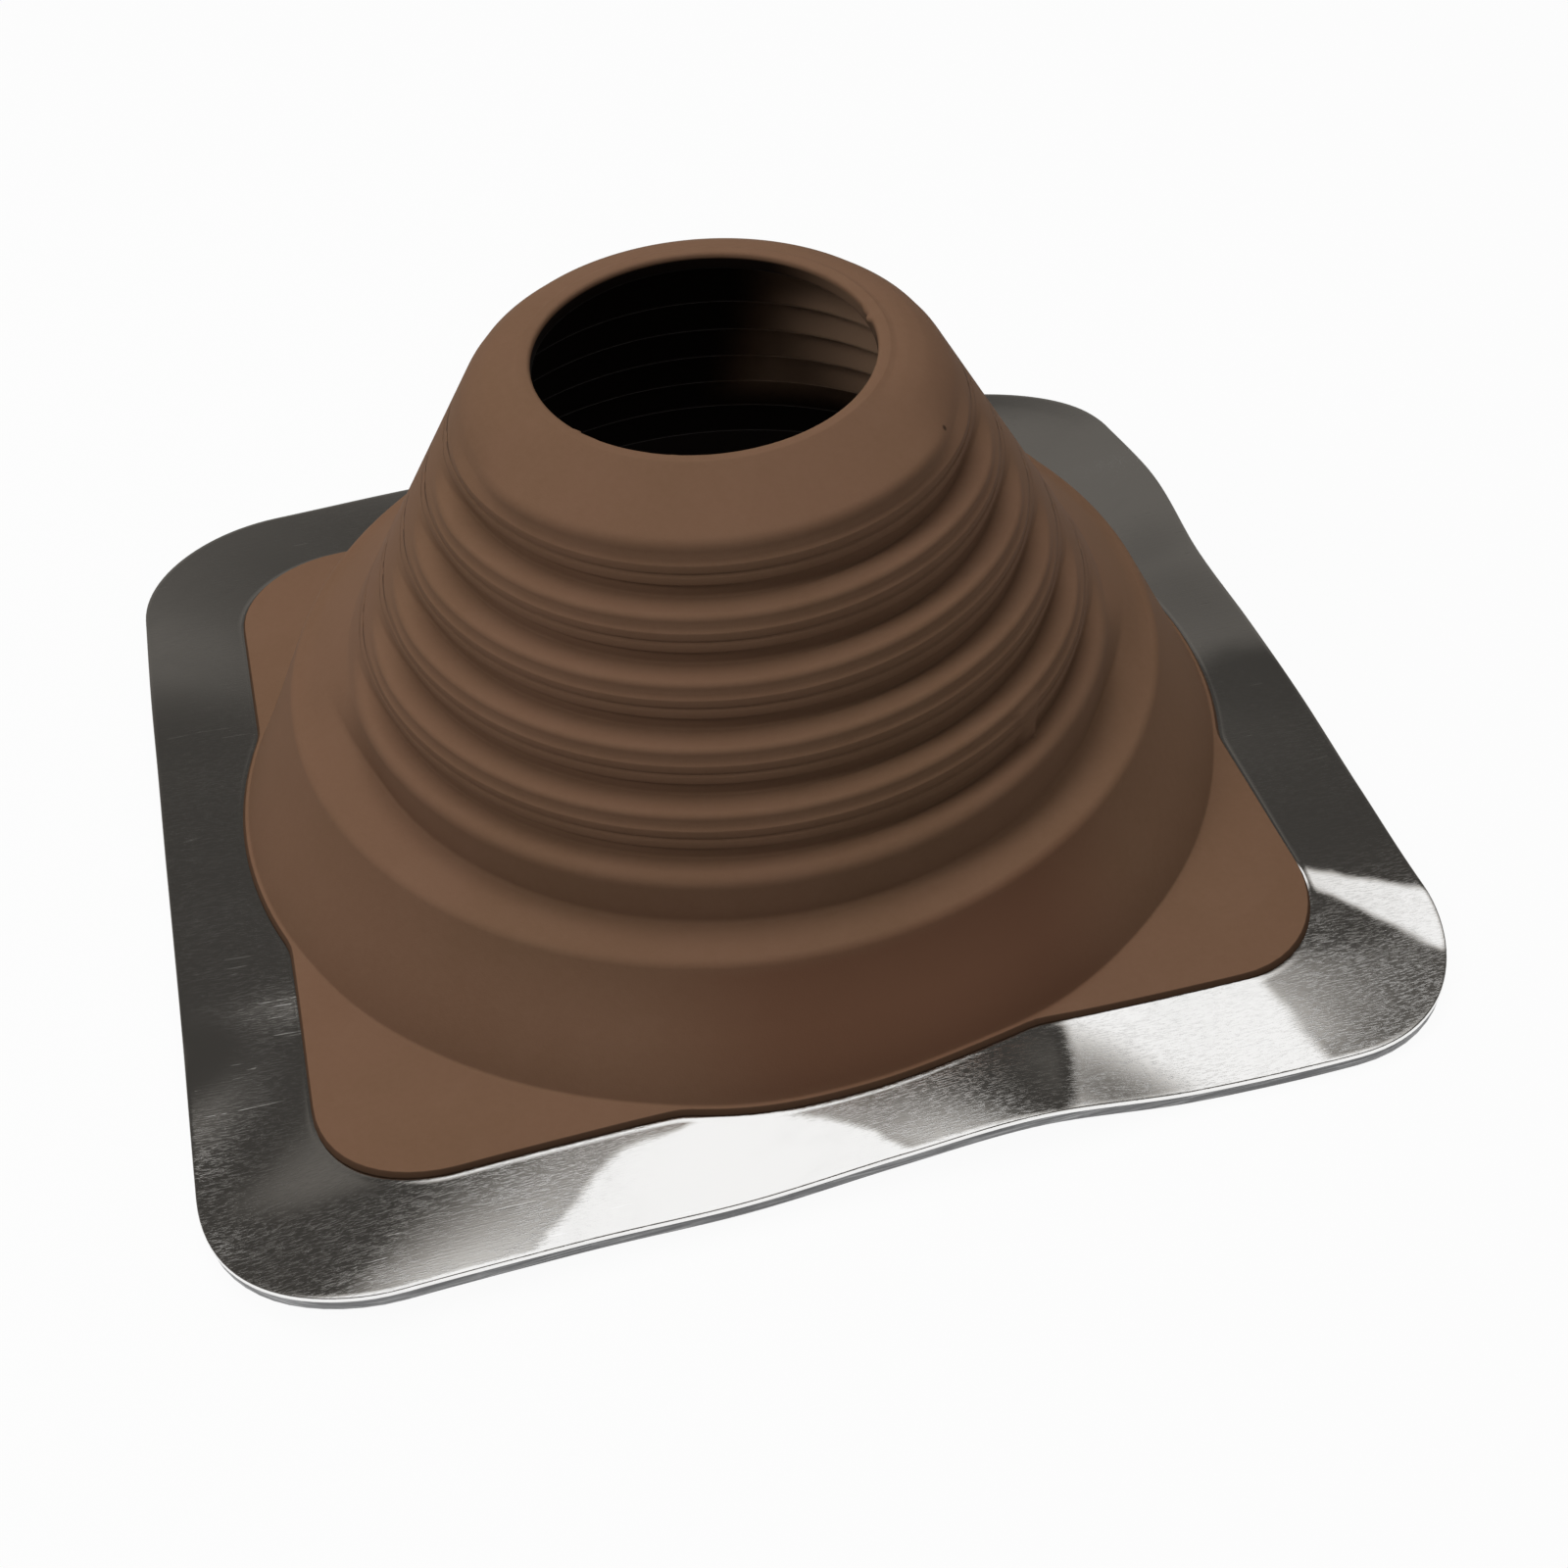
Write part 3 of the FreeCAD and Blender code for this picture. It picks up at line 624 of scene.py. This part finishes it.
def bootSection():
    b = boot
    plateTop = b["padThick"] + b["plateThick"]
    flangeTop = plateTop + b["flangeThick"]
    flareZ = flangeTop + b["skirtHeight"]
    lastRadius = b["wall"] + b["stepRun"] * b["steps"]
    flareRadius = lastRadius + b["flareRun"]
    baseRadius = flareRadius + b["skirtRun"]
    footZ = flangeTop + b["foot"]
    stepTop = lambda k: flareZ + b["flareDrop"] + b["lastWall"] + b["stepDrop"] * (b["steps"] - k)
    ledge = lambda k: flareZ + b["flareDrop"] if k == b["steps"] else stepTop(k) - b["wallHeight"]
    slope = math.hypot(1, b["collarSlope"])
    # where the collar's straight line would meet the upright wall
    centre = b["wall"] - b["collarRound"]
    turnRadius = centre + b["collarRound"] * b["collarSlope"] / slope
    turnZ = stepTop(0) + b["collarRound"] / slope
    lineZ = lambda r: turnZ + (turnRadius - r) * b["collarSlope"]
    lipOuter = b["mouth"] + b["lipWidth"]
    lipTop = lineZ(lipOuter) + b["lipRise"]
    corners = [
        (b["mouth"], lipTop, b["lipRound"], 3, 0, 0),
        (lipOuter - b["lipEdge"], lipTop, b["lipEdgeRound"], 2, 0, 0),
        (lipOuter, lineZ(lipOuter), b["lipFoot"], 1, 0, 0),
    ]
    corners += [(lipOuter + out, lineZ(lipOuter + out), 0, 1, 0, 0) for out in b["collarRows"]]
    corners.append((b["wall"], lineZ(b["wall"]), b["collarRound"], 6, 0, 0))
    for k in range(b["steps"]):
        wall = b["wall"] + b["stepRun"] * k
        top = stepTop(k)
        for bead in range(2):
            high = top - b["beadHeight"] * bead
            low = high - b["beadHeight"]
            corners.append((wall, high, 0, 1, 0, 0))
            corners.append((wall + b["beadOut"], high - b["beadFlank"], b["beadRound"], 2, 0, 0))
            corners.append((wall + b["beadOut"], low + b["beadUnder"], b["beadRound"], 2, 0, 0))
        corners.append((wall, top - 2 * b["beadHeight"], 0, 1, 0, 0))
        corners.append((wall, ledge(k), b["corner"], 2, 0, 0))
        corners.append((wall + b["stepRun"] - b["shoulderLean"], ledge(k), b["shoulder"], 5, 0, 0))
    corners += [
        (lastRadius, ledge(b["steps"]), b["lastCorner"], 2, 0, 0),
        (flareRadius, flareZ, b["flareRound"], 5, 0, 0),
        (baseRadius, flangeTop, b["skirtFoot"], 3, 0, 0),
        (-b["rimBevel"], flangeTop, b["rimRound"], 2, 1, 0),
        (0, plateTop + b["rimSide"], b["rimFoot"], 1, 1, 0),
        (0, plateTop, 0, 1, 1, 0),
        (b["hole"], plateTop, 0, 1, 0, 0),
        (b["hole"], b["padThick"], 0, 1, 0, 0),
        (-b["padInset"], b["padThick"], b["padTop"], 1, 0, 1),
        (-b["padInset"], 0, b["padFoot"], 2, 0, 1),
    ]
    for seal in range(b["seals"]):
        start = b["padInset"] + b["sealLand"] + (b["sealGroove"] + b["sealRib"]) * seal
        end = start + b["sealGroove"]
        corners += [(-start, 0, 0, 1, 0, 1), (-start, b["sealDepth"], 0, 1, 0, 1),
                    (-end, b["sealDepth"], 0, 1, 0, 1), (-end, 0, 0, 1, 0, 1)]
    lean = b["skirtRun"] / b["skirtHeight"]
    skirtInset = b["skirtThick"] * math.hypot(1, lean)
    innerFlareZ = flareZ - b["wallThick"]
    corners += [
        (b["passage"], 0, 0, 1, 0, 0),
        (b["passage"], b["passageRow"], 0, 1, 0, 0),
        (b["passage"], footZ, b["footRound"], 1, 0, 0),
        (baseRadius - skirtInset - b["foot"] * lean, footZ, 0, 1, 0, 0),
        (flareRadius - skirtInset + b["wallThick"] * lean, innerFlareZ, b["skirtInside"], 2, 0, 0),
        (lastRadius - b["wallThick"], innerFlareZ + b["flareDrop"], b["flareInside"], 1, 0, 0),
    ]
    for k in range(b["steps"] - 1, -1, -1):
        under = ledge(k) - b["wallThick"]
        inner = b["wall"] + b["stepRun"] * k - b["wallThick"]
        corners.append((inner + b["stepRun"], under, b["insideCorner"], 2, 0, 0))
        corners.append((inner, under, b["insideShoulder"], 1, 0, 0))
    collarInner = turnZ + (turnRadius - b["wall"] + b["wallThick"]) * b["collarSlope"] - b["wallThick"] * slope
    corners += [(b["wall"] - b["wallThick"], collarInner, b["collarInside"], 2, 0, 0),
                (b["mouth"], lipTop - b["lipDepth"], b["lipUnder"], 1, 0, 0)]
    rows = roundedSection(corners, b["widest"])
    # the rear line takes the rows from the lip to the flare, and dark gives each row's share of painted shade: all
    # of it on the inner wall, less on the flange's rim bevel
    smooth = b["rearLine"] + [(flareRadius - b["flareRound"], flareZ + b["tie"])]
    start = next(i for i, row in enumerate(rows) if row[0] > lipOuter + b["slack"])
    end = next(i for i, row in enumerate(rows) if row[0] > flareRadius - b["flareRound"] and row[3] == 0)
    within = next(i for i, row in enumerate(rows) if i > end and row[:2] == (b["passage"], b["passageRow"]))
    rear = []
    for i, row in enumerate(rows):
        place = tuple(onto(row[:2], smooth)) if start <= i < end else row[:2]
        soft = float(start <= i < end and row[1] > stepTop(0) + b["slack"])
        # along the flange's rim bevel the rows take a painted shade
        onRim = row[2] == 1 and row[3] == 0 and row[1] < flangeTop - b["slack"] / 2
        rear.append(place + (soft, max(float(i >= within), b["rimShade"] * onRim)))
    return rows, rear


def addFlash(points):
    x, y, z = points.T.copy()
    radius = np.hypot(x, y)
    turn = np.arctan2(y, x)
    lipTop = z[radius < boot["mouth"] + boot["lipWidth"]].max()
    below, belowSoft = boot["flashBelow"]
    above, aboveSoft = boot["flashAbove"]
    near = ease((lipTop - below - z) / belowSoft) * ease((z - lipTop + above) / aboveSoft)
    near = near * (radius < boot["mouth"] + boot["flashReach"])
    inward = np.zeros(len(x))
    for where, width, height in boot["flash"]:
        off = np.angle(np.exp(1j * (turn - math.radians(where)))) * boot["mouth"]
        inward += height * np.exp(-(off / (width / 2)) ** boot["flashPower"])
    share = 1 - near * inward / np.maximum(radius, 1)
    return np.stack([x * share, y * share, z], 1)


def addMark(points):
    mark = boot["mark"]
    x, y, z = points.T.copy()
    radius = np.hypot(x, y)
    off = np.abs(np.angle(np.exp(1j * (np.arctan2(y, x) - math.radians(mark["turn"]))))) * radius
    share = ease((mark["half"] + (z - mark["low"]) * mark["widen"] - off) / mark["edge"])
    share *= ease((z - mark["low"]) / mark["edge"]) * ease((mark["high"] - z) / mark["edge"])
    share *= np.abs(radius - mark["radius"]) < mark["reach"]
    scale = 1 + share * (mark["radius"] - radius) / np.maximum(radius, 1)
    return np.stack([x * scale, y * scale, z], 1)


tree = sweepTree()
rows, rear = bootSection()
print("boot section rows", len(rows))
bandTop = boot["padThick"] + boot["slack"] / 10
bootPiece = sweep(tree, "rubber_boot", rows, rear, boot["columns"], rubber, sealEdge, bandTop)
reshape(bootPiece, addFlash)
reshape(bootPiece, addMark)
reshape(bootPiece, settle)
closeUp(bootPiece)
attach(bootPiece, "root")
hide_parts("boot")
print("boot made")


# the base plate

# a tiny ridge stands against the flange's edge, and inner lies under the flange
plate = dict(
    columns=480, widest=3.0, bottom=3.2, top=4.7, hole=124, edgeRound=0.45, edgeFoot=0.2, inner=-2.0,
    ridgeFrom=0.1, ridge=0.1, ridgeWide=0.9, rows=(-8, -1.4), gap=0.01, gapEdge=0.02,
)


def plateSection():
    p = plate
    corners = [
        (p["hole"] + p["gapEdge"], p["top"] - p["gap"], 0, 1, 0, 0),
        (p["inner"], p["top"] - p["gap"], 0, 1, 1, 0),
        (p["ridgeFrom"], p["top"] - p["gap"], 0, 1, 1, 0),
        (p["ridgeFrom"] + p["ridgeWide"] / 2, p["top"] + p["ridge"], 0, 1, 1, 0),
        (p["ridgeFrom"] + p["ridgeWide"], p["top"], 0, 1, 1, 0),
    ]
    corners += [(inward, p["top"], 0, 1, 0, 1) for inward in p["rows"]]
    corners += [
        (0, p["top"] - p["gapEdge"], p["edgeRound"], 4, 0, 1),
        (0, p["bottom"] + p["gapEdge"], p["edgeFoot"], 2, 0, 1),
        (p["inner"], p["bottom"] + p["gap"], 0, 1, 1, 0),
        (p["hole"] + p["gapEdge"], p["bottom"] + p["gap"], 0, 1, 0, 0),
    ]
    return roundedSection(corners, p["widest"])


rows = plateSection()
print("plate section rows", len(rows))
rear = [row[:2] + (0, 0) for row in rows]
platePiece = sweep(tree, "metal_plate", rows, rear, plate["columns"], metal, metal)
reshape(platePiece, settle)
closeUp(platePiece)
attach(platePiece, "root")
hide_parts("base_plate")
print("plate made")


# floor, lights and surroundings

floor = dict(size=6.0, white=0.95, colour=(0.50, 0.50, 0.50, 1), faint=(0.48, 0.48, 0.48, 1),
             tone=(6, 2, 0.5), toneEdge=(0.2, 0.8), toneShare=0.3)


def seenDirectly(net):  # camera rays, and rays that come by a mirror or through glass
    outputs = net.add("ShaderNodeLightPath").socket.node.outputs
    camera, glossy, through = (Val(net, outputs[f"Is {kind} Ray"]) for kind in ("Camera", "Glossy", "Transmission"))
    return camera, glossy.math("MAXIMUM", through)


def makeFloor(height):
    half = floor["size"] / 2
    mesh = bpy.data.meshes.new("floor")
    mesh.from_pydata([(-half, -half, height), (half, -half, height), (half, half, height), (-half, half, height)],
                     [], [(0, 1, 2, 3)])
    obj = bpy.data.objects.new("floor", mesh)
    bpy.context.scene.collection.objects.link(obj)
    material, net = newMaterial("white_floor")
    seen, mirrored = seenDirectly(net)
    place = net.add("ShaderNodeTexCoord", out=3)
    tone = net.noise(place, *floor["tone"]).fade(*floor["toneEdge"])
    colour = net.blend(tone * floor["toneShare"], floor["colour"], floor["faint"])
    matte = net.add("ShaderNodeBsdfDiffuse", None, {"Color": colour})
    glow = net.add("ShaderNodeEmission", None, {"Color": (1, 1, 1, 1), "Strength": 1.0})
    share = seen.math("MAXIMUM", mirrored) * floor["white"]
    both = net.add("ShaderNodeMixShader", None, {0: share, 1: matte, 2: glow})
    net.add("ShaderNodeOutputMaterial", None, {"Surface": both})
    mesh.materials.append(material)
    obj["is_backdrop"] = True


lowest = min((bootPiece.matrix_world @ v.co).z for v in bootPiece.data.vertices)
makeFloor(lowest)

# soft lamps: place, aim, size and watts
lamps = dict(
    key=((-1.09, -0.33, 1.10), (0, 0, 0.08), 0.45, 8.8),
    top=((0.0, 0.36, 1.52), (0, 0, 0.0), 1.1, 18.2),
    side=((1.25, -0.75, 0.16), (0, 0, 0.06), 0.5, 2.8),
)


def makeLamp(name, place, aim, size, watts):
    data = bpy.data.lights.new(name, "AREA")
    data.shape = "SQUARE"
    data.size = size
    data.energy = watts
    lamp = bpy.data.objects.new(name, data)
    lamp.location = place
    lamp.rotation_euler = (Vector(aim) - Vector(place)).to_track_quat("-Z", "Y").to_euler()
    lamp.visible_glossy = False
    bpy.context.scene.collection.objects.link(lamp)


for name, (place, aim, size, watts) in lamps.items():
    makeLamp(name, place, aim, size, watts)

# what the metal mirrors is the white surroundings with a dark screen behind the object
# low and ceiling are the elevations in degrees at which the screen starts and ends
studio = dict(
    fill=0.14, overhead=0.16, screen=(0.045, 0.125), low=(26, 40), ceiling=(49, 68), tint=(1.0, 0.93, 0.84, 1),
    white=0.98,
)


def makeWorld():
    world = bpy.data.worlds.new("studio")
    bpy.context.scene.world = world
    world.use_nodes = True
    net = Net(world.node_tree)
    direction = net.add("ShaderNodeTexCoord", out=0)
    z = net.axes(direction)[2]
    elevation = z.math("MINIMUM", 1.0).math("MAXIMUM", -1.0).math("ARCSINE") * (180 / math.pi)
    white = elevation.fade(*studio["ceiling"])
    light = elevation.fade(*studio["low"]).mix(studio["screen"][1], studio["screen"][0])
    light = white.mix(light, 1.0)
    tint = net.blend(white, studio["tint"], (1, 1, 1, 1))
    seen, mirrored = seenDirectly(net)
    overhead = z.math("MAXIMUM", 0.0) * studio["overhead"] + studio["fill"]
    plain = (1, 1, 1, 1)
    shades = [net.add("ShaderNodeBackground", None, {"Color": colour, "Strength": strength})
              for colour, strength in ((plain, overhead), (tint, light), (plain, studio["white"]))]
    around = net.add("ShaderNodeMixShader", None, {0: mirrored, 1: shades[0], 2: shades[1]})
    whole = net.add("ShaderNodeMixShader", None, {0: seen, 1: around, 2: shades[2]})
    net.add("ShaderNodeOutputWorld", None, {"Surface": whole})


makeWorld()
bpy.context.scene.view_settings.view_transform = "Standard"
print("lights made")

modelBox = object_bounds()
for name, box in (("cad", cadBox), ("visual", modelBox)):
    print(name, "box in mm", [round(value / mm, 1) for corner in box for value in corner])
